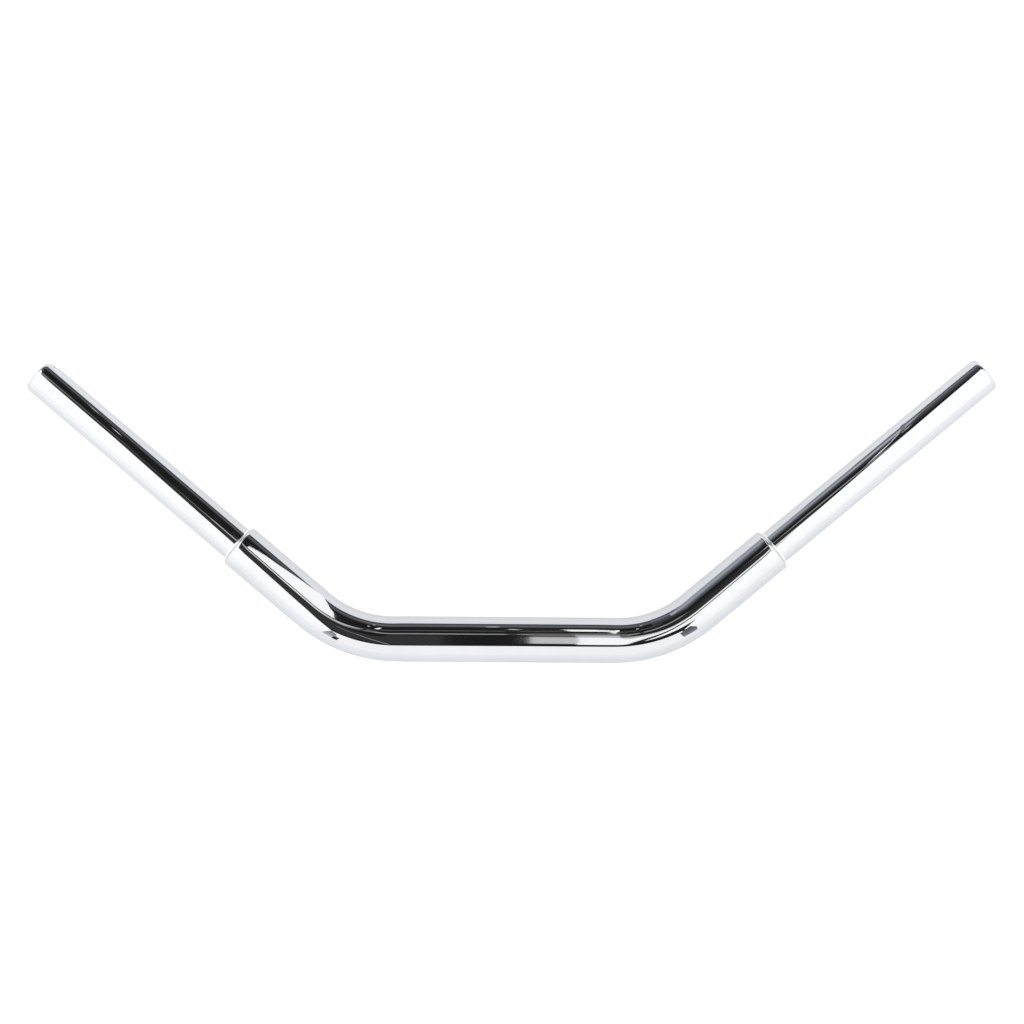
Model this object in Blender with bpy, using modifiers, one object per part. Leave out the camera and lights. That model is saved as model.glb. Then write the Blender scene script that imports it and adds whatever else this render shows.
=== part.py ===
"""Two-bend motorcycle handlebar with stepped ends, a plated steel weldment.

The bar lies flat in the XY plane, +Z up. The origin is on the axis of the
centre tube, halfway between the two bends, where the riser clamps hold it.
+X runs along the centre tube towards the clutch-side end and +Y is the way
both arms sweep. All lengths are in metres.

It comes apart into three tubes and two welds:
  main_tube          the fat tube, bent twice, with a rounded shoulder at each end
  end_tube_left      the throttle-side tube, with a sensor notch in its end
  end_tube_right     the clutch-side tube
  weld_fillet_left   the ring weld at the foot of the left shoulder
  weld_fillet_right  the ring weld at the foot of the right shoulder
"""

import math

import bpy
from mathutils import Matrix, Vector

INCH = 0.0254

# --- tubes ---------------------------------------------------------------
MAIN_OD = 1.25 * INCH
MAIN_WALL = 0.002875
END_OD = 1.00 * INCH
END_WALL = 0.12 * INCH
CLEARANCE = 0.0003  # between pieces that touch on the real bar

# --- layout of the centreline --------------------------------------------
APEX_SPACING = 0.2186  # between the points where the arm axes meet the centre axis
BEND_ANGLE = math.radians(40.0)
BEND_RADIUS = 3.5 * INCH
APEX_TO_SHOULDER = 0.1008
APEX_TO_END = {"left": 0.2840, "right": 0.2928}
INSERTION = 1.5 * INCH  # of each end tube inside the main tube

# --- edges ---------------------------------------------------------------
SHOULDER_ROUND = 0.0026
BORE_CHAMFER = 0.0005
END_ROUND_ACROSS = 0.0022  # the rounding of the open ends, in from the outer wall
END_ROUND_ALONG = 0.0036  # and back along the tube
END_BORE_CHAMFER = 0.0003
WELD_LEG = 0.0017
WELD_HEIGHT = 0.0012

# --- sensor notch in the throttle-side end --------------------------------
NOTCH_WIDTH = 0.0110
NOTCH_DEPTH = 0.0080

# --- facets ----------------------------------------------------------------
SIDES = 32
BEND_STEPS = 8
ROUND_STEPS = 4

SIDE_SIGN = {"left": -1.0, "right": 1.0}

# --- derived ---------------------------------------------------------------
TANGENT = BEND_RADIUS * math.tan(BEND_ANGLE / 2)
CENTRE_HALF = APEX_SPACING / 2 - TANGENT  # straight part of the centre tube
ARC = BEND_RADIUS * BEND_ANGLE
ARM_STRAIGHT = APEX_TO_SHOULDER - TANGENT
MAIN_HALF = CENTRE_HALF + ARC + ARM_STRAIGHT


def clear_scene():
    for obj in list(bpy.data.objects):
        bpy.data.objects.remove(obj, do_unlink=True)
    for collection in list(bpy.data.collections):
        bpy.data.collections.remove(collection)


def new_collection(name):
    collection = bpy.data.collections.new(name)
    bpy.context.scene.collection.children.link(collection)
    return collection


def principled(name, colour, roughness, metallic):
    material = bpy.data.materials.new(name)
    material.use_nodes = True
    shader = material.node_tree.nodes["Principled BSDF"]
    shader.inputs["Base Color"].default_value = (*colour, 1.0)
    shader.inputs["Roughness"].default_value = roughness
    shader.inputs["Metallic"].default_value = metallic
    material.diffuse_color = (*colour, 1.0)
    return material


def quarter_round(centre, across, along, start, end, steps=ROUND_STEPS):
    """Points (r, z) on an oval arc about centre, from angle start to end, both included."""
    points = []
    for i in range(steps + 1):
        angle = start + (end - start) * i / steps
        points.append(
            (centre[0] + across * math.cos(angle), centre[1] + along * math.sin(angle))
        )
    return points


def centreline(station):
    """The point and the unit tangent of the bent axis, at a distance along it from its middle."""
    sign = -1.0 if station < 0 else 1.0
    run = abs(station)
    if run <= CENTRE_HALF:
        point, tangent = Vector((run, 0, 0)), Vector((1, 0, 0))
    elif run <= CENTRE_HALF + ARC:
        turn = (run - CENTRE_HALF) / BEND_RADIUS
        point = Vector(
            (
                CENTRE_HALF + BEND_RADIUS * math.sin(turn),
                BEND_RADIUS * (1 - math.cos(turn)),
                0,
            )
        )
        tangent = Vector((math.cos(turn), math.sin(turn), 0))
    else:
        tangent = Vector((math.cos(BEND_ANGLE), math.sin(BEND_ANGLE), 0))
        point = (
            Vector((APEX_SPACING / 2, 0, 0))
            + (run - CENTRE_HALF - ARC + TANGENT) * tangent
        )
    return Vector((sign * point.x, point.y, 0)), Vector((tangent.x, sign * tangent.y, 0))


def bend_stations():
    """Distances along the axis where the main tube needs a ring of points."""
    half = [CENTRE_HALF + ARC * i / BEND_STEPS for i in range(BEND_STEPS + 1)]
    return [-s for s in reversed(half)] + half


def turned(name, loop, collection, material):
    """A ring-shaped solid: the closed loop of (r, z) points, turned about Z with a Screw modifier.

    The loop runs down its outer side, from high z to low z, and back up its bore.
    """
    mesh = bpy.data.meshes.new(name)
    points = [(r, 0.0, z) for r, z in loop]
    edges = [(i, (i + 1) % len(points)) for i in range(len(points))]
    mesh.from_pydata(points, edges, [])
    obj = bpy.data.objects.new(name, mesh)
    collection.objects.link(obj)
    screw = obj.modifiers.new("Turn", "SCREW")
    screw.axis = "Z"
    screw.angle = 2 * math.pi
    screw.steps = SIDES
    screw.render_steps = SIDES
    screw.use_smooth_shade = True
    screw.use_merge_vertices = True
    screw.merge_threshold = 0.00002
    obj.data.materials.append(material)
    return obj


def add_bend(obj, guide):
    """Bends a straight tube, turned about Z, along the guide curve."""
    bend = obj.modifiers.new("Bend", "CURVE")
    bend.object = guide
    bend.deform_axis = "POS_Z"


def make_guide(collection):
    """The bar's bent axis as a curve, from the left shoulder to the right one."""
    curve = bpy.data.curves.new("centreline_guide", "CURVE")
    curve.dimensions = "3D"
    curve.twist_mode = "Z_UP"
    stations = [-MAIN_HALF]
    fine = 6 * BEND_STEPS
    half = [CENTRE_HALF + ARC * i / fine for i in range(fine + 1)]
    stations += [-s for s in reversed(half)] + half + [MAIN_HALF]
    spline = curve.splines.new("POLY")
    spline.points.add(len(stations) - 1)
    for point, station in zip(spline.points, stations):
        point.co = (*centreline(station)[0], 1.0)
    obj = bpy.data.objects.new("centreline_guide", curve)
    obj.hide_render = True
    obj.display_type = "WIRE"
    collection.objects.link(obj)
    return obj


def arm_frame(side, distance):
    """World matrix on an arm, at a distance from the apex: Z outward along the arm, X towards the side that the bar is bent to."""
    sign = SIDE_SIGN[side]
    outward = Vector((sign * math.cos(BEND_ANGLE), math.sin(BEND_ANGLE), 0))
    inner = Vector((-sign * math.sin(BEND_ANGLE), math.cos(BEND_ANGLE), 0))
    third = outward.cross(inner)
    origin = Vector((sign * APEX_SPACING / 2, 0, 0)) + distance * outward
    matrix = Matrix((inner, third, outward)).transposed().to_4x4()
    matrix.translation = origin
    return matrix


def main_tube(collection, guide, material):
    outer, bore = MAIN_OD / 2, MAIN_OD / 2 - MAIN_WALL
    top, low = 2 * MAIN_HALF, 0.0  # distances along the guide
    to_guide = [s + MAIN_HALF for s in bend_stations()]
    rounded = outer - SHOULDER_ROUND
    loop = []
    # far shoulder, from the rim of the bore out to the outer wall
    loop.append((bore + BORE_CHAMFER / 2, top))
    radius = SHOULDER_ROUND
    loop += quarter_round((rounded, top - radius), radius, radius, math.pi / 2, 0)
    loop += [(outer, s) for s in reversed(to_guide)]
    # near shoulder
    loop += quarter_round((rounded, low + radius), radius, radius, 0, -math.pi / 2)
    loop.append((bore + BORE_CHAMFER / 2, low))
    # back along the bore
    loop.append((bore, low + BORE_CHAMFER))
    loop += [(bore, s) for s in to_guide]
    loop.append((bore, top - BORE_CHAMFER))
    obj = turned("main_tube", loop, collection, material)
    add_bend(obj, guide)
    return obj


def end_tube(side, collection, material):
    outer, bore = END_OD / 2, END_OD / 2 - END_WALL
    length = APEX_TO_END[side] - APEX_TO_SHOULDER + INSERTION
    across, along = END_ROUND_ACROSS, END_ROUND_ALONG
    loop = [(bore + END_BORE_CHAMFER, length)]
    loop += quarter_round((outer - across, length - along), across, along, math.pi / 2, 0)
    loop += [
        (outer, INSERTION + 0.02),
        (outer, 0.001),
        (outer - 0.001, 0.0),
        (bore, 0.0),
        (bore, INSERTION + 0.02),
        (bore, length - END_BORE_CHAMFER),
    ]
    obj = turned(f"end_tube_{side}", loop, collection, material)
    obj.matrix_world = arm_frame(side, APEX_TO_SHOULDER - INSERTION)
    return obj


def cut_notch(tube, side, cutters):
    """An open-ended slot in the inner side of the tube's wall."""
    outer, bore = END_OD / 2, END_OD / 2 - END_WALL
    bpy.ops.mesh.primitive_cube_add(size=1.0)
    cutter = bpy.context.active_object
    cutter.name = "notch_cutter"
    radial = (bore * 0.55, outer + 0.004)
    cutter.data.transform(
        Matrix.Diagonal((radial[1] - radial[0], NOTCH_WIDTH, 2 * NOTCH_DEPTH, 1.0))
    )
    cutter.matrix_world = arm_frame(side, APEX_TO_END[side]) @ Matrix.Translation(
        ((radial[0] + radial[1]) / 2, 0, 0)
    )
    for owner in list(cutter.users_collection):
        owner.objects.unlink(cutter)
    cutters.objects.link(cutter)
    cutter.hide_render = True
    cutter.display_type = "WIRE"
    cut = tube.modifiers.new("Notch", "BOOLEAN")
    cut.operation = "DIFFERENCE"
    cut.solver = "EXACT"
    cut.object = cutter


def weld_fillet(side, collection, material):
    """The concave ring of weld in the corner between the shoulder and the end tube."""
    inner = END_OD / 2 + CLEARANCE
    low = CLEARANCE
    high = low + WELD_LEG
    lip = 0.00012
    # The concave face is an arc that is nearly tangent to the tube and to the shoulder.
    loop = [(inner, high), (inner + lip, high)]
    for i in range(1, 6):
        turn = math.pi / 2 * i / 5
        loop.append(
            (
                inner + lip + (WELD_HEIGHT - lip) * (1 - math.cos(turn)),
                high - (WELD_LEG - lip) * math.sin(turn),
            )
        )
    loop += [(inner + WELD_HEIGHT, low), (inner, low)]
    obj = turned(f"weld_fillet_{side}", loop, collection, material)
    obj.matrix_world = arm_frame(side, APEX_TO_SHOULDER)
    return obj


def build():
    clear_scene()
    bar = new_collection("handlebar")
    helpers = new_collection("handlebar_helpers")
    helpers.hide_render = True

    plated = principled("chrome_main", (0.78, 0.79, 0.80), 0.05, 1.0)
    plated_end = principled("chrome_ends", (0.79, 0.80, 0.81), 0.05, 1.0)
    plated_weld = principled("chrome_weld", (0.74, 0.75, 0.76), 0.12, 1.0)

    guide = make_guide(helpers)
    main_tube(bar, guide, plated)
    for side in ("left", "right"):
        tube = end_tube(side, bar, plated_end)
        if side == "left":
            cut_notch(tube, side, helpers)
        weld_fillet(side, bar, plated_weld)
    bpy.context.view_layer.update()


build()
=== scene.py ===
"""The looks of the two-bend motorcycle handlebar: polished chrome tubes, welds and raw bores."""

import math

import bmesh
import bpy
from mathutils import Matrix, Vector, noise


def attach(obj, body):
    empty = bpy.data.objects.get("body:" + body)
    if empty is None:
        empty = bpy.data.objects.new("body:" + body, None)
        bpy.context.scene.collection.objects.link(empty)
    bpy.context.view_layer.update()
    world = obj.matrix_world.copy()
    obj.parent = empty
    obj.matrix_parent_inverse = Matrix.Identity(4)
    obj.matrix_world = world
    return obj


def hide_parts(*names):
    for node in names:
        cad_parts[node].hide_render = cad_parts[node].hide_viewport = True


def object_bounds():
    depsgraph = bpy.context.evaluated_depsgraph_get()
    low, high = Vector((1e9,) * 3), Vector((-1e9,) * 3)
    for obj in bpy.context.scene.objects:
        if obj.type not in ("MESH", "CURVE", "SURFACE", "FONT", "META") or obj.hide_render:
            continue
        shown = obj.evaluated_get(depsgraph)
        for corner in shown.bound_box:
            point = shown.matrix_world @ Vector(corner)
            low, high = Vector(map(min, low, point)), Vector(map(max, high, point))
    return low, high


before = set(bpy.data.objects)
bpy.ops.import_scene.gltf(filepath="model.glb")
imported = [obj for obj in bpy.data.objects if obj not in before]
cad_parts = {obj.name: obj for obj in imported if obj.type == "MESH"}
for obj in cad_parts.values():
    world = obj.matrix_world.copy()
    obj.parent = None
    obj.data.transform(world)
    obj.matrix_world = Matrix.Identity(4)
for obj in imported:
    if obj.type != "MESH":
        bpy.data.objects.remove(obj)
CAD_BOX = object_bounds()

INCH = 0.0254

# The same sizes as the CAD's, in metres.
MAIN_R = 1.25 * INCH / 2
MAIN_BORE = MAIN_R - 0.002875
END_R = 1.00 * INCH / 2
END_BORE = END_R - 0.12 * INCH
APEX_SPACING = 0.2186
BEND_ANGLE = math.radians(40.0)
BEND_RADIUS = 3.5 * INCH
APEX_TO_SHOULDER = 0.1008
APEX_TO_END = {"left": 0.2840, "right": 0.2928}
INSERTION = 1.5 * INCH
SHOULDER_ROUND = 0.0026
BORE_CHAMFER = 0.0005
END_ROUND_ACROSS = 0.0022
END_ROUND_ALONG = 0.0036
END_BORE_ROUND = 0.0003
NOTCH_WIDTH = 0.0110
NOTCH_DEPTH = 0.0080
SIDE_SIGN = {"left": -1.0, "right": 1.0}

TANGENT = BEND_RADIUS * math.tan(BEND_ANGLE / 2)
CENTRE_HALF = APEX_SPACING / 2 - TANGENT
ARC = BEND_RADIUS * BEND_ANGLE
ARM_STRAIGHT = APEX_TO_SHOULDER - TANGENT
MAIN_HALF = CENTRE_HALF + ARC + ARM_STRAIGHT

# How far the bends are flattened in the bar's plane, as bent tube is.
OVALITY = 0.022
FILLET = 0.0015  # radius of the polished weld's concave face


# ---------------------------------------------------------------- helpers


def smoothstep(a, b, x):
    t = min(1.0, max(0.0, (x - a) / (b - a)))
    return t * t * (3 - 2 * t)


def centreline(station):
    """Point, unit tangent and inner normal of the bent axis, at a signed distance along it."""
    sign = -1.0 if station < 0 else 1.0
    run = abs(station)
    if run <= CENTRE_HALF:
        point, turn = Vector((run, 0, 0)), 0.0
    elif run <= CENTRE_HALF + ARC:
        turn = (run - CENTRE_HALF) / BEND_RADIUS
        point = Vector(
            (
                CENTRE_HALF + BEND_RADIUS * math.sin(turn),
                BEND_RADIUS * (1 - math.cos(turn)),
                0,
            )
        )
    else:
        turn = BEND_ANGLE
        along = run - CENTRE_HALF - ARC + TANGENT
        point = Vector((APEX_SPACING / 2, 0, 0)) + along * Vector(
            (math.cos(turn), math.sin(turn), 0)
        )
    tangent = Vector((math.cos(turn), sign * math.sin(turn), 0))
    inner = Vector((-sign * math.sin(turn), math.cos(turn), 0))
    return Vector((sign * point.x, point.y, 0)), tangent, inner


def flattening(station):
    """0 on the straights, 1 in the middle of a bend."""
    run = abs(station)
    lead = 0.012
    return smoothstep(CENTRE_HALF - lead, CENTRE_HALF + 0.022, run) * (
        1 - smoothstep(CENTRE_HALF + ARC - 0.022, CENTRE_HALF + ARC + lead, run)
    )


def bend(co):
    """Moves a point of the straight tube, whose axis is Z, to its place on the bent one."""
    point, tangent, inner = centreline(co.z)
    w = OVALITY * flattening(co.z)
    return point + inner * co.x * (1 - w) + Vector((0, 0, 1)) * co.y * (1 + 0.6 * w)


def arm_place(side):
    """A map from a straight tube, whose Z is the distance from the apex, to the arm."""
    sign = SIDE_SIGN[side]
    outward = Vector((sign * math.cos(BEND_ANGLE), math.sin(BEND_ANGLE), 0))
    inner = Vector((-sign * math.sin(BEND_ANGLE), math.cos(BEND_ANGLE), 0))
    apex = Vector((sign * APEX_SPACING / 2, 0, 0))

    def place(co):
        return apex + outward * co.z + inner * co.x + Vector((0, 0, 1)) * co.y

    return place


def arc_points(centre, radius, start, end, steps, stretch=1.0):
    """(r, z) points on an arc, both ends included, stretched along z."""
    return [
        (
            centre[0] + radius * math.cos(start + (end - start) * i / steps),
            centre[1] + stretch * radius * math.sin(start + (end - start) * i / steps),
        )
        for i in range(steps + 1)
    ]


def spread(a, b, steps):
    return [a + (b - a) * i / steps for i in range(steps + 1)]


def turned_bmesh(loop, sides, radius_at=None):
    """A ring solid from a closed loop of (r, z, material, sharp) points, turned about Z.

    material is that of the band from this point to the next. sharp marks the ring of edges
    at this point as a crease.
    """
    bm = bmesh.new()
    rings = []
    for r, z, _m, _s in loop:
        ring = []
        for j in range(sides):
            angle = 2 * math.pi * j / sides
            rr, zz = radius_at(r, z, angle) if radius_at else (r, z)
            ring.append(bm.verts.new((rr * math.cos(angle), rr * math.sin(angle), zz)))
        rings.append(ring)
    count = len(rings)
    for i in range(count):
        a, b = rings[i], rings[(i + 1) % count]
        for j in range(sides):
            k = (j + 1) % sides
            face = bm.faces.new((a[j], b[j], b[k], a[k]))
            face.material_index = loop[i][2]
            face.smooth = True
    bm.edges.ensure_lookup_table()
    for i in range(count):
        if loop[i][3]:
            for j in range(sides):
                edge = bm.edges.get((rings[i][j], rings[i][(j + 1) % sides]))
                edge.smooth = False
    bmesh.ops.recalc_face_normals(bm, faces=bm.faces)
    return bm


def finish_piece(name, bm, place, materials, slot, *nodes):
    """The mesh in its place, with its unbent coordinates kept for the materials."""
    mesh = bpy.data.meshes.new(name)
    bm.to_mesh(mesh)
    bm.free()
    flat = mesh.attributes.new("unbent", "FLOAT_VECTOR", "POINT")
    flat.data.foreach_set("vector", [c for v in mesh.vertices for c in v.co])
    for vertex in mesh.vertices:
        vertex.co = place(vertex.co)
    mesh.update()
    for material in materials:
        mesh.materials.append(material)
    obj = bpy.data.objects.new(name, mesh)
    bpy.context.scene.collection.objects.link(obj)
    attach(obj, "root")
    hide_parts(*nodes)
    return obj


# ---------------------------------------------------------------- materials


class Nodes:
    """A short way to write a material's nodes."""

    def __init__(self, name):
        self.material = bpy.data.materials.new(name)
        self.material.use_nodes = True
        self.tree = self.material.node_tree
        self.shader = self.tree.nodes["Principled BSDF"]
        self.output = self.tree.nodes["Material Output"]

    def add(self, kind, **settings):
        node = self.tree.nodes.new(kind)
        for key, value in settings.items():
            setattr(node, key, value)
        return node

    def link(self, a, b):
        self.tree.links.new(a, b)

    def coordinates(self):
        return self.add("ShaderNodeAttribute", attribute_name="unbent").outputs["Vector"]

    def scaled(self, vector, scale):
        node = self.add("ShaderNodeVectorMath", operation="MULTIPLY")
        self.link(vector, node.inputs[0])
        node.inputs[1].default_value = scale
        return node.outputs[0]

    def noise(self, vector, scale, detail=2.0, roughness=0.5, distortion=0.0):
        node = self.add("ShaderNodeTexNoise")
        self.link(vector, node.inputs["Vector"])
        node.inputs["Scale"].default_value = scale
        node.inputs["Detail"].default_value = detail
        node.inputs["Roughness"].default_value = roughness
        node.inputs["Distortion"].default_value = distortion
        return node.outputs["Fac"]

    def remap(self, value, a, b, c, d):
        node = self.add("ShaderNodeMapRange", clamp=True)
        self.link(value, node.inputs["Value"])
        for key, number in zip(("From Min", "From Max", "To Min", "To Max"), (a, b, c, d)):
            node.inputs[key].default_value = number
        return node.outputs["Result"]

    def math(self, operation, a, b=None, c=None):
        node = self.add("ShaderNodeMath", operation=operation)
        for socket, value in zip(node.inputs, (a, b, c)):
            if value is None:
                continue
            if isinstance(value, (int, float)):
                socket.default_value = value
            else:
                self.link(value, socket)
        return node.outputs[0]

    def mix(self, factor, a, b):
        node = self.add("ShaderNodeMix", data_type="RGBA")
        self.link(factor, node.inputs["Factor"])
        for socket, value in ((node.inputs[6], a), (node.inputs[7], b)):
            if isinstance(value, tuple):
                socket.default_value = (*value, 1.0)
            else:
                self.link(value, socket)
        return node.outputs[2]

    def bump(self, height, distance, strength=1.0, normal=None):
        node = self.add("ShaderNodeBump")
        self.link(height, node.inputs["Height"])
        node.inputs["Distance"].default_value = distance
        node.inputs["Strength"].default_value = strength
        if normal is not None:
            self.link(normal, node.inputs["Normal"])
        return node.outputs["Normal"]


def chrome(name, tint, haze, waviness, grain):
    """Bright plating over polished steel.

    tint is its reflectance, haze the mean roughness, waviness the height in metres of the long
    ripples that the polishing belt leaves, and grain that of the fine ones.
    """
    n = Nodes(name)
    at = n.coordinates()
    # Polishing drags its marks round the tube, so the fine pattern is short along Z.
    clouds = n.noise(at, 38.0, detail=3.0, roughness=0.55)
    wipes = n.noise(n.scaled(at, (1.0, 1.0, 0.12)), 210.0, detail=3.0, roughness=0.6)
    fine = n.noise(n.scaled(at, (1.0, 1.0, 5.0)), 320.0, detail=2.0)
    blend = n.math("ADD", n.math("MULTIPLY", clouds, 0.6), n.math("MULTIPLY", wipes, 0.4))
    n.link(
        n.remap(blend, 0.34, 0.68, haze * 0.55, haze * 1.9), n.shader.inputs["Roughness"]
    )
    low = tuple(c * 0.965 for c in tint)
    n.link(n.mix(n.remap(clouds, 0.3, 0.7, 0.0, 1.0), low, tint), n.shader.inputs["Base Color"])
    n.shader.inputs["Metallic"].default_value = 1.0
    n.shader.inputs["Specular Tint"].default_value = (*EDGE_TINT, 1.0)
    # A few tiny dimples in the plating, each under half a millimetre.
    cells = n.add("ShaderNodeTexVoronoi", feature="F1")
    n.link(at, cells.inputs["Vector"])
    cells.inputs["Scale"].default_value = 120.0
    near = n.remap(cells.outputs["Distance"], 0.02, 0.05, 1.0, 0.0)
    split = n.add("ShaderNodeSeparateColor")
    n.link(cells.outputs["Color"], split.inputs["Color"])
    chosen = n.math("GREATER_THAN", split.outputs[0], 0.93)
    dimple = n.math("MULTIPLY", near, chosen)
    waves = n.noise(n.scaled(at, (1.0, 1.0, 0.45)), 30.0, detail=1.0)
    first = n.bump(waves, waviness)
    second = n.bump(fine, grain, normal=first)
    third = n.bump(n.math("MULTIPLY", dimple, -1.0), 0.00002, normal=second)
    n.link(third, n.shader.inputs["Normal"])
    return n.material


def chrome_rim(name, tint):
    """The tube's cut end: faced in a lathe before plating, so it keeps fine rings."""
    n = Nodes(name)
    at = n.coordinates()
    parts = n.add("ShaderNodeSeparateXYZ")
    n.link(at, parts.inputs[0])
    radius = n.math(
        "SQRT",
        n.math(
            "ADD",
            n.math("MULTIPLY", parts.outputs[0], parts.outputs[0]),
            n.math("MULTIPLY", parts.outputs[1], parts.outputs[1]),
        ),
    )
    rings = n.math("SINE", n.math("MULTIPLY", radius, 2 * math.pi / 0.00022))
    spots = n.noise(at, 420.0, detail=3.0)
    n.link(n.remap(spots, 0.3, 0.7, 0.10, 0.24), n.shader.inputs["Roughness"])
    n.link(
        n.mix(n.remap(spots, 0.35, 0.65, 0.0, 1.0), tuple(c * 0.92 for c in tint), tint),
        n.shader.inputs["Base Color"],
    )
    n.shader.inputs["Metallic"].default_value = 1.0
    n.shader.inputs["Specular Tint"].default_value = (*EDGE_TINT, 1.0)
    n.link(n.bump(rings, 0.000004), n.shader.inputs["Normal"])
    return n.material


def raw_bore(name, mouths):
    """Plain drawn steel inside the tube, with the plating fading out a little way in from each
    mouth. mouths are (distance along Z, direction into the tube) pairs."""
    n = Nodes(name)
    at = n.coordinates()
    parts = n.add("ShaderNodeSeparateXYZ")
    n.link(at, parts.inputs[0])
    along = parts.outputs[2]
    streaks = n.noise(n.scaled(at, (1.0, 1.0, 0.04)), 700.0, detail=4.0, roughness=0.65)
    blotch = n.noise(at, 90.0, detail=4.0, roughness=0.6)
    freckle = n.noise(at, 520.0, detail=3.0, roughness=0.6)
    scale = n.mix(
        n.remap(streaks, 0.3, 0.7, 0.0, 1.0), (0.175, 0.165, 0.157), (0.34, 0.325, 0.31)
    )
    rusty = n.math(
        "MULTIPLY", n.remap(blotch, 0.52, 0.72, 0.0, 1.0), n.remap(freckle, 0.45, 0.62, 0.0, 1.0)
    )
    bare = n.mix(n.math("MULTIPLY", rusty, 0.55), scale, (0.17, 0.085, 0.045))
    fade = None
    for end, inward in mouths:
        depth = n.math("MULTIPLY", n.math("SUBTRACT", along, end), inward)
        wavy = n.math("ADD", depth, n.math("MULTIPLY", n.math("SUBTRACT", blotch, 0.5), 0.012))
        here = n.remap(wavy, 0.004, 0.020, 1.0, 0.0)
        fade = here if fade is None else n.math("MAXIMUM", fade, here)
    n.link(n.mix(fade, bare, (0.58, 0.58, 0.585)), n.shader.inputs["Base Color"])
    rough = n.remap(streaks, 0.3, 0.7, 0.38, 0.62)
    n.link(
        n.math("SUBTRACT", rough, n.math("MULTIPLY", fade, 0.26)), n.shader.inputs["Roughness"]
    )
    n.shader.inputs["Metallic"].default_value = 0.9
    first = n.bump(streaks, 0.00003)
    n.link(n.bump(freckle, 0.00002, normal=first), n.shader.inputs["Normal"])
    return n.material


EDGE_TINT = (0.82, 0.825, 0.83)
CHROME_TINT = (0.656, 0.665, 0.683)
CHROME_MAIN = chrome("chrome_main", CHROME_TINT, 0.028, 0.000010, 0.0000006)
CHROME_ENDS = chrome("chrome_ends", CHROME_TINT, 0.030, 0.000010, 0.0000008)
# The weld's rougher haze and deeper ripples are its own finish. Its reflectance, set well above that of
# the tubes' same plating, is a painted highlight that makes the ring shine brighter.
CHROME_WELD_BRIGHTENED = chrome("chrome_weld", (0.850, 0.860, 0.875), 0.045, 0.000020, 0.0000016)
CHROME_RIM = chrome_rim("chrome_rim", (0.64, 0.652, 0.672))


# ---------------------------------------------------------------- the bar


def main_tube():
    """The fat tube, turned straight with its rounded shoulders, then bent."""
    sides = 224
    top, low = MAIN_HALF, -MAIN_HALF
    rounded = MAIN_R - SHOULDER_ROUND
    stops = [
        low + SHOULDER_ROUND,
        -CENTRE_HALF - ARC - 0.016,
        -CENTRE_HALF + 0.014,
        CENTRE_HALF - 0.014,
        CENTRE_HALF + ARC + 0.016,
        top - SHOULDER_ROUND,
    ]
    steps = [10, 72, 16, 72, 10]
    outer_z = []
    for a, b, count in zip(stops[:-1], stops[1:], steps):
        outer_z += spread(a, b, count)[1:]
    outer_z = outer_z[:-1]
    loop = []

    def add(points, material, sharp=False):
        for r, z in points:
            loop.append([r, z, material, sharp])

    # from the rim of the far bore, over the shoulder, down the outside, to the near bore
    add([(MAIN_BORE + BORE_CHAMFER / 2, top)], 0, True)
    add(arc_points((rounded, top - SHOULDER_ROUND), SHOULDER_ROUND, math.pi / 2, 0, 14), 0)
    add([(MAIN_R, z) for z in reversed(outer_z)], 0)
    add(arc_points((rounded, low + SHOULDER_ROUND), SHOULDER_ROUND, 0, -math.pi / 2, 14), 0)
    add([(MAIN_BORE + BORE_CHAMFER / 2, low)], 1, True)
    bore_z = [z for z in outer_z[::3]]
    add([(MAIN_BORE, low + BORE_CHAMFER)], 1, True)
    add([(MAIN_BORE, z) for z in bore_z if low + 0.001 < z < top - 0.001], 1)
    add([(MAIN_BORE, top - BORE_CHAMFER)], 1, True)
    bm = turned_bmesh(loop, sides)
    bore = raw_bore("steel_bore_main", ((top, -1.0), (low, 1.0)))
    return finish_piece(
        "main_tube_chrome", bm, bend, [CHROME_MAIN, bore], "main_tube", "main_tube"
    )


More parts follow.
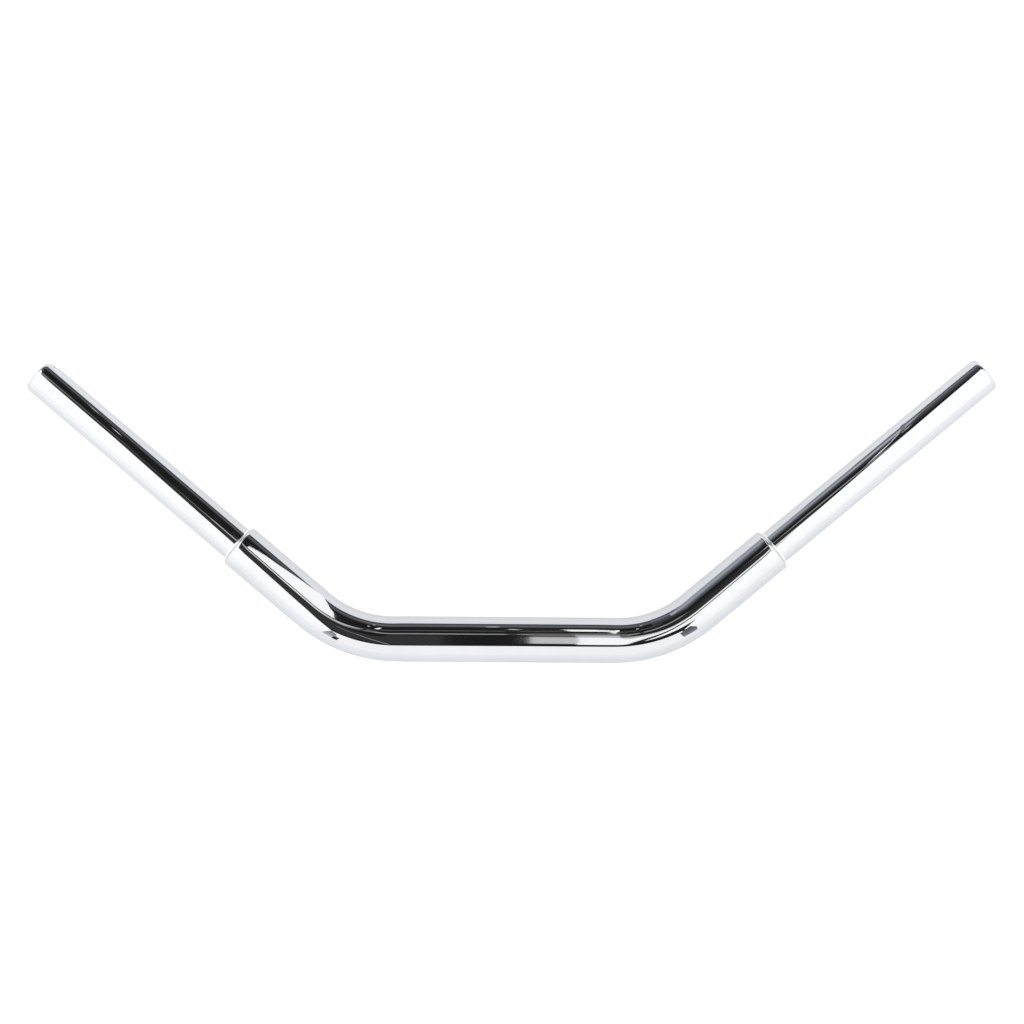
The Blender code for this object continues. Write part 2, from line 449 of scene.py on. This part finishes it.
def cut_notch(bm, end):
    """Cuts the open-ended slot in the inner side of the wall, and eases its edges."""
    tube_mesh = bpy.data.meshes.new("notch_tube")
    bm.to_mesh(tube_mesh)
    bm.free()
    tube = bpy.data.objects.new("notch_tube", tube_mesh)
    corner = 0.0018
    block = bmesh.new()
    bmesh.ops.create_cube(block, size=1.0)
    lowest, highest = END_BORE * 0.5, END_R + 0.004
    block.transform(
        Matrix.Translation(((lowest + highest) / 2, 0, end))
        @ Matrix.Diagonal((highest - lowest, NOTCH_WIDTH, 2 * NOTCH_DEPTH, 1.0))
    )
    bottom = [
        e
        for e in block.edges
        if all(v.co.z < end for v in e.verts)
        and abs(e.verts[0].co.y - e.verts[1].co.y) < 1e-6
        and abs(e.verts[0].co.x - e.verts[1].co.x) > 1e-4
    ]
    bmesh.ops.bevel(block, geom=bottom, offset=corner, segments=6, profile=0.5, affect="EDGES")
    cutter_mesh = bpy.data.meshes.new("notch_cutter")
    block.to_mesh(cutter_mesh)
    block.free()
    cutter = bpy.data.objects.new("notch_cutter", cutter_mesh)
    scene = bpy.context.scene
    scene.collection.objects.link(tube)
    scene.collection.objects.link(cutter)
    cut = tube.modifiers.new("Notch", "BOOLEAN")
    cut.operation, cut.solver, cut.object = "DIFFERENCE", "EXACT", cutter
    bpy.context.view_layer.update()
    graph = bpy.context.evaluated_depsgraph_get()
    made = bpy.data.meshes.new_from_object(tube.evaluated_get(graph))
    out = bmesh.new()
    out.from_mesh(made)
    for obj in (tube, cutter):
        bpy.data.objects.remove(obj, do_unlink=True)
    for mesh in (tube_mesh, cutter_mesh, made):
        bpy.data.meshes.remove(mesh)
    bmesh.ops.remove_doubles(out, verts=out.verts, dist=1e-7)
    half = NOTCH_WIDTH / 2

    def on_wall(face):
        c, normal = face.calc_center_median(), face.normal
        return (
            c.x > 0
            and c.z > end - NOTCH_DEPTH - 1e-4
            and abs(c.y) < half + 1e-4
            and (
                (abs(normal.y) > 0.9 and abs(abs(c.y) - half) < 2e-5)
                or (normal.z > 0.2 and c.z < end - NOTCH_DEPTH + corner + 1e-4)
            )
        )

    walls = {f for f in out.faces if on_wall(f)}
    for face in walls:
        face.material_index = 2
    edges = [
        e
        for e in out.edges
        if len(e.link_faces) == 2 and (e.link_faces[0] in walls) != (e.link_faces[1] in walls)
    ]
    for edge in edges:
        edge.smooth = False
    return out


def end_tube(side):
    """A thin straight tube, from inside the main tube to its open end."""
    sides = 192
    start = APEX_TO_SHOULDER - INSERTION
    end = APEX_TO_END[side]
    shoulder = end - END_ROUND_ALONG
    loop = []

    def add(points, material, sharp=False):
        for r, z in points:
            loop.append([r, z, material, sharp])

    bore_edge = END_BORE + END_BORE_ROUND
    add([(bore_edge, end)], 2, True)
    stretch = END_ROUND_ALONG / END_ROUND_ACROSS
    centre = (END_R - END_ROUND_ACROSS, shoulder)
    add(arc_points(centre, END_ROUND_ACROSS, math.pi / 2, 0, 14, stretch), 0)
    loop[1][3] = True
    add([(END_R, z) for z in reversed(spread(start + 0.001, shoulder, 24)[1:-1])], 0)
    add([(END_R, start + 0.001), (END_R - 0.001, start)], 0, True)
    add([(END_BORE, start)], 1, True)
    add([(END_BORE, z) for z in spread(start, end - END_BORE_ROUND, 16)[1:-1]], 1)
    add(
        arc_points(
            (END_BORE + END_BORE_ROUND, end - END_BORE_ROUND),
            END_BORE_ROUND,
            math.pi,
            math.pi / 2,
            4,
        )[:-1],
        1,
    )
    bm = turned_bmesh(loop, sides)
    if side == "left":
        bm = cut_notch(bm, end)
    bore = raw_bore(f"steel_bore_{side}", ((end, -1.0),))
    return finish_piece(
        f"end_tube_{side}_chrome",
        bm,
        arm_place(side),
        [CHROME_ENDS, bore, CHROME_RIM],
        "end_tubes",
        f"end_tube_{side}",
    )


def weld_fillet(side):
    """The ground and polished ring of weld, hollow-faced, that runs into both tubes."""
    sides = 224
    foot = APEX_TO_SHOULDER
    seed = 3.7 if side == "left" else 11.3
    centre_r = MAIN_R - SHOULDER_ROUND
    steps = 12

    def section(angle):
        """The concave face at this angle round the tube, its radius uneven as hand work is."""
        around = Vector((math.cos(angle), math.sin(angle), 0))
        uneven = noise.noise(around * 1.6 + Vector((seed, 0, 0))) * 0.22
        ripple = noise.noise(around * 9.0 + Vector((0, seed, 0))) * 0.06
        rho = FILLET * (1 + uneven + ripple)
        rise = END_R + rho - centre_r
        zc = math.sqrt((SHOULDER_ROUND + rho) ** 2 - rise**2) - SHOULDER_ROUND
        toward = math.atan2(rise, zc + SHOULDER_ROUND)
        return rho, zc, toward

    bm = bmesh.new()
    rings = []
    for j in range(sides):
        angle = 2 * math.pi * j / sides
        rho, zc, toward = section(angle)
        centre = (END_R + rho, zc)
        # From the thin tube, straight below the arc's centre, round to the shoulder.
        points = [(END_R - 0.0002, zc + 0.0004), (END_R - 0.00001, zc + 0.00005)]
        first, last = -math.pi / 2, math.pi + toward - 2 * math.pi
        for i in range(steps + 1):
            turn = first + (last - first) * i / steps
            points.append(
                (centre[0] + rho * math.sin(turn), centre[1] + rho * math.cos(turn))
            )
        shoulder = points[-1]
        points.append((shoulder[0] + 0.00005, shoulder[1] - 0.0001))
        points += [(shoulder[0] - 0.0001, -0.0008), (END_R - 0.0002, -0.0008)]
        rings.append(
            [
                bm.verts.new((r * math.cos(angle), r * math.sin(angle), foot + z))
                for r, z in points
            ]
        )
    count = len(rings[0])
    for j in range(sides):
        a, b = rings[j], rings[(j + 1) % sides]
        for i in range(count):
            k = (i + 1) % count
            face = bm.faces.new((a[i], a[k], b[k], b[i]))
            face.smooth = True
    bmesh.ops.recalc_face_normals(bm, faces=bm.faces)
    for edge in bm.edges:
        if len(edge.link_faces) == 2 and edge.calc_face_angle(0.0) > math.radians(50):
            edge.smooth = False
    return finish_piece(
        f"weld_fillet_{side}_chrome",
        bm,
        arm_place(side),
        [CHROME_WELD_BRIGHTENED],
        "weld_fillets",
        f"weld_fillet_{side}",
    )


main_tube()
for side in ("left", "right"):
    end_tube(side)
    weld_fillet(side)


# ---------------------------------------------------------------- the studio

FLOOR_Z = CAD_BOX[0][2] - 0.0003
COOL = (0.95, 0.98, 1.05)
WINDOW = (0.93, 0.97, 1.06)

# A white tent stands round the front and both sides of the bar, open above it and behind it.
# High above hang lit panels, with the camera looking down past the edge of the middle one, and
# beyond the open back is a dim room. Each panel is (name, height, corners, glow, tint), and its
# glow is one value or (axis, [(place, value), ...]). Corners and glows were fitted to the edges and
# tones of the reflections in the reference picture, and the names are guesses at what stood there.
FLATS = [
    (
        "roof_left",
        0.30,
        [
            (-0.9, -1.10),
            (-0.70, -0.90),
            (-0.236, -0.186),
            (-0.224, -0.13),
            (-0.214, -0.05),
            (-0.221, 0.01),
            (-0.231, 0.068),
            (-0.242, 0.117),
            (-0.253, 0.169),
            (-0.260, 0.205),
            (-0.304, 0.259),
            (-0.34, 0.5),
            (-0.56, 0.9),
            (-0.9, 0.9),
        ],
        ("y", [(-0.90, 1.32), (-0.55, 1.39), (-0.30, 1.46), (-0.05, 1.52)]),
        None,
    ),
    (
        "roof_right",
        0.30,
        [
            (0.9, -1.10),
            (0.9, 0.90),
            (0.68, 0.90),
            (0.37, 0.535),
            (0.262, 0.535),
            (0.222, 0.40),
            (0.205, 0.25),
            (0.200, 0.13),
            (0.200, 0.0),
            (0.208, -0.052),
            (0.218, -0.085),
            (0.240, -0.160),
            (0.82, -0.90),
        ],
        ("y", [(-0.90, 1.30), (-0.55, 1.36), (-0.35, 1.41), (-0.20, 1.46), (-0.05, 1.52)]),
        None,
    ),
    (
        "roof_front",
        0.30,
        [
            (-0.9, -1.10),
            (0.9, -1.10),
            (0.82, -0.90),
            (0.24, -0.176),
            (0.12, -0.168),
            (0.0, -0.169),
            (-0.08, -0.178),
            (-0.16, -0.185),
            (-0.236, -0.186),
            (-0.70, -0.90),
        ],
        1.34,
        None,
    ),
    # the mitres of the tent, where two panels meet
    (
        "mitre_left",
        0.299,
        [(-0.236, -0.186), (-0.604, -0.726), (-0.70, -0.90), (-0.55, -0.90), (-0.243, -0.233)],
        ("y", [(-0.90, 0.80), (-0.50, 0.62), (-0.30, 0.38)]),
        None,
    ),
    (
        "mitre_right",
        0.299,
        [(0.250, -0.150), (0.423, -0.36), (0.82, -0.90), (0.66, -0.90), (0.265, -0.235)],
        ("y", [(-0.90, 0.55), (-0.50, 0.28), (-0.20, 0.14)]),
        COOL,
    ),
    (
        "mitre_foot",
        0.298,
        [(-0.302, -0.389), (-0.595, -0.979), (-0.65, -1.09), (-0.711, -1.09), (-0.359, -0.449)],
        0.02,
        None,
    ),
    # a dark flap over the left arm
    (
        "flap",
        0.29,
        [(-0.158, 0.175), (-0.140, 0.190), (-0.250, 0.320), (-0.290, 0.330), (-0.200, 0.215)],
        ("x", [(-0.28, 0.26), (-0.22, 0.09), (-0.18, 0.045)]),
        None,
    ),
    # a taut cord across the opening
    (
        "cord",
        0.30,
        [
            (-0.136, -0.0065),
            (-0.120, -0.0125),
            (-0.0955, -0.142),
            (-0.0918, -0.142),
            (-0.1165, -0.0085),
            (-0.135, -0.0025),
        ],
        0.50,
        None,
    ),
    # overhead
    (
        "ceiling_grey",
        2.0,
        [(0.030, -0.58), (0.098, -0.58), (0.098, 1.60), (0.030, 1.60)],
        ("y", [(0.47, 0.76), (0.62, 0.32), (0.77, 0.09), (0.96, 0.24), (1.15, 0.18), (1.60, 0.05)]),
        None,
    ),
    (
        "ceiling_white",
        2.0,
        [(0.098, -0.74), (0.19, -0.74), (0.19, 1.60), (0.098, 1.60)],
        ("y", [(0.47, 1.42), (0.60, 0.80), (0.85, 0.72), (1.0, 0.50), (1.15, 0.28), (1.60, 0.08)]),
        None,
    ),
    (
        "ceiling_wide",
        2.0,
        [
            (0.285, -0.55),
            (0.285, 0.84),
            (0.415, 0.996),
            (0.890, 1.578),
            (1.409, 2.218),
            (4.0, 2.218),
            (4.0, -0.55),
        ],
        1.42,
        None,
    ),
    ("rail_near", 2.0, [(-0.5, 1.02), (0.030, 1.02), (0.030, 1.24), (-0.5, 1.24)], 0.42, None),
    ("rail_far", 2.0, [(-0.6, 1.92), (0.09, 1.92), (0.09, 2.22), (-0.6, 2.22)], 0.13, None),
    ("lamp", 2.0, [(0.105, 2.15), (0.175, 2.15), (0.175, 3.1), (0.105, 3.1)], 1.4, None),
    ("ceiling_dim", 2.05, [(-2.5, -1.0), (-0.09, -1.0), (-0.09, 2.3), (-2.5, 2.3)], ("y", [(0.5, 0.050), (1.3, 0.018)]), None),
]
# A tall, narrow white board stands behind the bar on its right. These are the points up its near
# edge, which is bowed, each with the way from there to its other edge.
BOARD = [
    ((0.137, 0.362, -0.0159), (0.051, -0.080)),
    ((0.128, 0.378, 0.06), (0.050, -0.0805)),
    ((0.121, 0.388, 0.12), (0.049, -0.081)),
    ((0.106, 0.402, 0.25), (0.046, -0.083)),
    ((0.090, 0.410, 0.336), (0.043, -0.0845)),
    ((0.090, 0.432, 0.48), (0.042, -0.085)),
    ((0.113, 0.531, 1.015), (0.042, -0.085)),
    ((0.125, 0.580, 1.27), (0.042, -0.085)),
]
BOARD_BACK = (0.0025, 0.0016)  # from its white face to its back, past its edge; back and edge glow dim grey as painted shade
# Each upright panel is (name, one foot, the other foot, low, high, glow, tint).
UPRIGHTS = [
    (
        "wall_front",
        (-0.9, -1.10),
        (0.9, -1.10),
        -0.0159,
        0.30,
        ("z", [(0.0, 1.22), (0.07, 1.24), (0.22, 1.30), (0.30, 1.33)]),
        None,
    ),
    ("wall_left", (-0.9, -1.10), (-0.9, 0.9), -0.0159, 0.30, ("y", [(-0.9, 1.29), (-0.4, 1.40)]), None),
    ("wall_right", (0.9, -1.10), (0.9, 0.9), -0.0159, 0.30, ("y", [(-0.9, 1.25), (-0.3, 1.31)]), None),
    # a stand beyond the bar, with two bright fittings
    ("stand", (-0.001, 0.601), (0.012, 0.601), 0.44, 1.45, 0.025, None),
    ("fitting_high", (0.002, 0.6), (0.011, 0.6), 0.395, 0.448, 1.15, None),
    ("fitting_low", (-0.018, 0.6), (-0.007, 0.6), 0.205, 0.260, 0.62, None),
    (
        "back_middle",
        (-0.45, 2.0),
        (0.45, 2.0),
        -0.0159,
        1.0,
        ("z", [(0.045, 1.0), (0.06, 0.08), (0.30, 0.10), (0.45, 0.17), (0.75, 0.15), (0.90, 0.03)]),
        COOL,
    ),
    (
        "back_right",
        (0.45, 2.0),
        (2.6, 0.9),
        -0.0159,
        1.0,
        ("z", [(0.045, 1.0), (0.06, 0.07), (0.30, 0.09), (0.50, 0.14), (0.80, 0.11), (1.0, 0.03)]),
        COOL,
    ),
    # the back on the left, with a dim window along it
    (
        "back_left_a",
        (-2.6, 0.9),
        (-0.962, 1.738),
        -0.0159,
        1.85,
        ("z", [(0.04, 0.9), (0.07, 0.6), (0.20, 0.46), (0.35, 0.42), (0.65, 0.52), (0.83, 0.45), (1.0, 0.28), (1.2, 0.18), (1.85, 0.06)]),
        WINDOW,
    ),
    (
        "back_left_b",
        (-0.962, 1.738),
        (-0.882, 1.779),
        -0.0159,
        1.85,
        ("z", [(0.0, 0.50), (0.20, 0.32), (0.35, 0.31), (0.65, 0.58), (0.80, 0.44), (1.0, 0.20), (1.2, 0.12), (1.85, 0.03)]),
        WINDOW,
    ),
    (
        "back_left_c",
        (-0.882, 1.779),
        (-0.775, 1.834),
        -0.0159,
        1.85,
        ("z", [(0.0, 0.14), (0.20, 0.17), (0.35, 0.27), (0.50, 0.48), (0.65, 0.76), (0.80, 0.60), (0.96, 0.25), (1.15, 0.09), (1.85, 0.03)]),
        WINDOW,
    ),
    (
        "back_left_d",
        (-0.775, 1.834),
        (-0.45, 2.0),
        -0.0159,
        1.85,
        ("z", [(0.0, 0.08), (0.20, 0.11), (0.35, 0.28), (0.50, 0.24), (0.65, 0.14), (0.90, 0.10), (1.15, 0.08), (1.85, 0.03)]),
        WINDOW,
    ),
]


def emission(name, glow, tint):
    """A panel's light: even, or running through the given values along one axis."""
    material = bpy.data.materials.new(name)
    material.use_nodes = True
    tree = material.node_tree
    tree.nodes.clear()
    out = tree.nodes.new("ShaderNodeOutputMaterial")
    light = tree.nodes.new("ShaderNodeEmission")
    light.inputs["Color"].default_value = (*(tint or (1.0, 1.0, 1.0)), 1.0)
    tree.links.new(light.outputs[0], out.inputs["Surface"])
    if not isinstance(glow, tuple):
        light.inputs["Strength"].default_value = glow
        return material
    axis, stops = glow
    first, last = stops[0][0], stops[-1][0]
    place = tree.nodes.new("ShaderNodeTexCoord")
    parts = tree.nodes.new("ShaderNodeSeparateXYZ")
    tree.links.new(place.outputs["Object"], parts.inputs[0])
    along = tree.nodes.new("ShaderNodeMapRange")
    along.inputs["From Min"].default_value = first
    along.inputs["From Max"].default_value = last
    tree.links.new(parts.outputs["xyz".index(axis)], along.inputs["Value"])
    ramp = tree.nodes.new("ShaderNodeValToRGB")
    tree.links.new(along.outputs["Result"], ramp.inputs["Fac"])
    elements = ramp.color_ramp.elements
    for i, (where, value) in enumerate(stops):
        t = (where - first) / (last - first)
        element = elements[i] if i < 2 else elements.new(t)
        element.position = t
        element.color = (value / 2, value / 2, value / 2, 1.0)
    double = tree.nodes.new("ShaderNodeMath")
    double.operation = "MULTIPLY"
    tree.links.new(ramp.outputs["Color"], double.inputs[0])
    double.inputs[1].default_value = 2.0
    tree.links.new(double.outputs[0], light.inputs["Strength"])
    return material


def panel(name, corners, glow, tint):
    """A lit panel, given by its corners in order. It shows only in reflections."""
    mesh = bpy.data.meshes.new(name)
    mesh.from_pydata([tuple(c) for c in corners], [], [tuple(range(len(corners)))])
    bm = bmesh.new()
    bm.from_mesh(mesh)
    bmesh.ops.triangulate(bm, faces=bm.faces)
    bm.to_mesh(mesh)
    bm.free()
    mesh.materials.append(emission(name, glow, tint))
    obj = bpy.data.objects.new(name, mesh)
    bpy.context.scene.collection.objects.link(obj)
    obj.visible_camera = False


def build_floor():
    bm = bmesh.new()
    bmesh.ops.create_circle(bm, cap_ends=True, radius=14.0, segments=96)
    bmesh.ops.translate(bm, verts=bm.verts, vec=(0, 0, FLOOR_Z))
    mesh = bpy.data.meshes.new("floor")
    bm.to_mesh(mesh)
    bm.free()
    n = Nodes("pale_floor")
    n.shader.inputs["Base Color"].default_value = (0.34, 0.345, 0.35, 1.0)
    n.shader.inputs["Roughness"].default_value = 0.9
    n.shader.inputs["Specular IOR Level"].default_value = 0.0
    n.shader.inputs["Emission Color"].default_value = (0.99, 1.0, 1.01, 1.0)
    # The light on it evens out beyond the tent.
    place = n.add("ShaderNodeTexCoord")
    away = n.add("ShaderNodeVectorMath", operation="LENGTH")
    n.link(place.outputs["Object"], away.inputs[0])
    n.link(
        n.remap(away.outputs["Value"], 0.75, 1.5, 0.825, 1.0),
        n.shader.inputs["Emission Strength"],
    )
    mesh.materials.append(n.material)
    obj = bpy.data.objects.new("floor", mesh)
    bpy.context.scene.collection.objects.link(obj)


def build_backdrop():
    """A white surround, for views from low down. Only the camera sees it."""
    bm = bmesh.new()
    bmesh.ops.create_uvsphere(bm, u_segments=48, v_segments=24, radius=13.0)
    bmesh.ops.reverse_faces(bm, faces=bm.faces)
    mesh = bpy.data.meshes.new("backdrop")
    bm.to_mesh(mesh)
    bm.free()
    mesh.materials.append(emission("backdrop", 1.0, None))
    obj = bpy.data.objects.new("backdrop", mesh)
    bpy.context.scene.collection.objects.link(obj)
    for kind in ("diffuse", "glossy", "transmission", "volume_scatter", "shadow"):
        setattr(obj, f"visible_{kind}", False)


build_floor()
build_backdrop()
for name, height, points, glow, tint in FLATS:
    panel(name, [(x, y, height) for x, y in points], glow, tint)
thick = Vector((*BOARD_BACK, 0))
for i, ((a, across_a), (b, across_b)) in enumerate(zip(BOARD, BOARD[1:])):
    a, b = Vector(a), Vector(b)
    far_a, far_b = a + Vector((*across_a, 0)), b + Vector((*across_b, 0))
    panel(f"board_face_{i}", [a, far_a, far_b, b], 1.42, None)
    # The back and the edge glow dim grey: painted shade on the side of the white board that the light
    # doesn't reach.
    panel(f"board_shaded_back_{i}", [v + thick for v in (a, far_a, far_b, b)], 0.22, None)
    panel(f"board_shaded_edge_{i}", [far_a, far_a + thick, far_b + thick, far_b], 0.26, None)
for name, a, b, low, high, glow, tint in UPRIGHTS:
    panel(name, [(*a, low), (*b, low), (*b, high), (*a, high)], glow, tint)

world = bpy.data.worlds.new("studio")
world.use_nodes = True
world.node_tree.nodes["Background"].inputs["Color"].default_value = (0.97, 0.98, 1.0, 1.0)
world.node_tree.nodes["Background"].inputs["Strength"].default_value = 0.018
bpy.context.scene.world = world


# ---------------------------------------------------------------- the camera

DISTANCE = 2.0
PIXELS_PER_M = 1434.6
CAMERA_ROLL = math.radians(0.413)
camera_data = bpy.data.cameras.new("camera")
camera_data.sensor_fit = "HORIZONTAL"
camera_data.sensor_width = 36.0
camera_data.lens = 36.0 * DISTANCE * PIXELS_PER_M / 1024
camera_data.clip_start = 0.01
camera_data.clip_end = 60.0
camera = bpy.data.objects.new("camera", camera_data)
camera.location = (0.00426, 0.08904, DISTANCE)
camera.rotation_euler = (0.0, 0.0, CAMERA_ROLL)
bpy.context.scene.collection.objects.link(camera)
bpy.context.scene.camera = camera

bpy.context.scene.view_settings.view_transform = "Standard"
bpy.context.scene.view_settings.look = "None"
